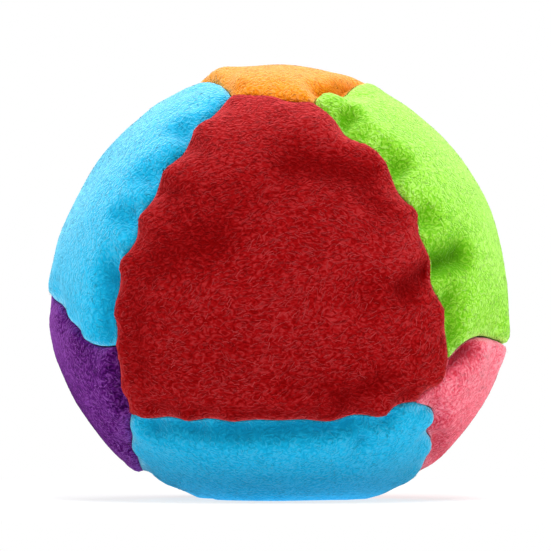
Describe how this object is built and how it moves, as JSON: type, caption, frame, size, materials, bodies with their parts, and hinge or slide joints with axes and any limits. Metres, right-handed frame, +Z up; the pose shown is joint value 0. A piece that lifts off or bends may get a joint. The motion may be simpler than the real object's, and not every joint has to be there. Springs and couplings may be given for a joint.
{
  "type": "footbag",
  "caption": "Round pellet-filled footbag sewn from six-sided and three-sided coloured suede panels, for kicking games.",
  "frame": {"origin": "middle of the flat that the bag rests on, under the middle of the ball", "axes": "+Z up from the surface that the bag rests on, -Y out of the red panel's face, +X to the right as seen from the front"},
  "size_m": [0.0548, 0.055, 0.0519],
  "materials": {
    "red_suede": "brushed nap",
    "orange_suede": "brushed nap",
    "pink_suede": "brushed nap",
    "purple_suede": "brushed nap",
    "blue_suede": "brushed nap",
    "green_suede": "brushed nap",
    "sewing_thread": "waxed twist",
    "pellets": "moulded, dull"
  },
  "bodies": {
    "root": {"red_front_panel": "red_suede", "orange_top_panel": "orange_suede", "pink_right_panel": "pink_suede", "purple_left_panel": "purple_suede", "green_back_panel": "green_suede", "blue_base_panel": "blue_suede", "blue_left_panel": "blue_suede", "green_right_panel": "green_suede", "thread_green_back_to_orange_top": "sewing_thread", "thread_green_back_to_pink_right": "sewing_thread", "thread_green_back_to_purple_left": "sewing_thread", "thread_blue_base_to_red_front": "sewing_thread", "thread_blue_base_to_pink_right": "sewing_thread", "thread_blue_base_to_purple_left": "sewing_thread", "thread_blue_left_to_red_front": "sewing_thread", "thread_blue_left_to_orange_top": "sewing_thread", "thread_blue_left_to_purple_left": "sewing_thread", "thread_green_right_to_red_front": "sewing_thread", "thread_green_right_to_orange_top": "sewing_thread", "thread_green_right_to_pink_right": "sewing_thread", "thread_pink_right_to_purple_left": "sewing_thread", "thread_orange_top_to_purple_left": "sewing_thread", "thread_orange_top_to_pink_right": "sewing_thread", "thread_red_front_to_purple_left": "sewing_thread", "thread_red_front_to_pink_right": "sewing_thread", "thread_red_front_to_orange_top": "sewing_thread", "pellet_fill": "pellets"}
  },
  "joints": []
}
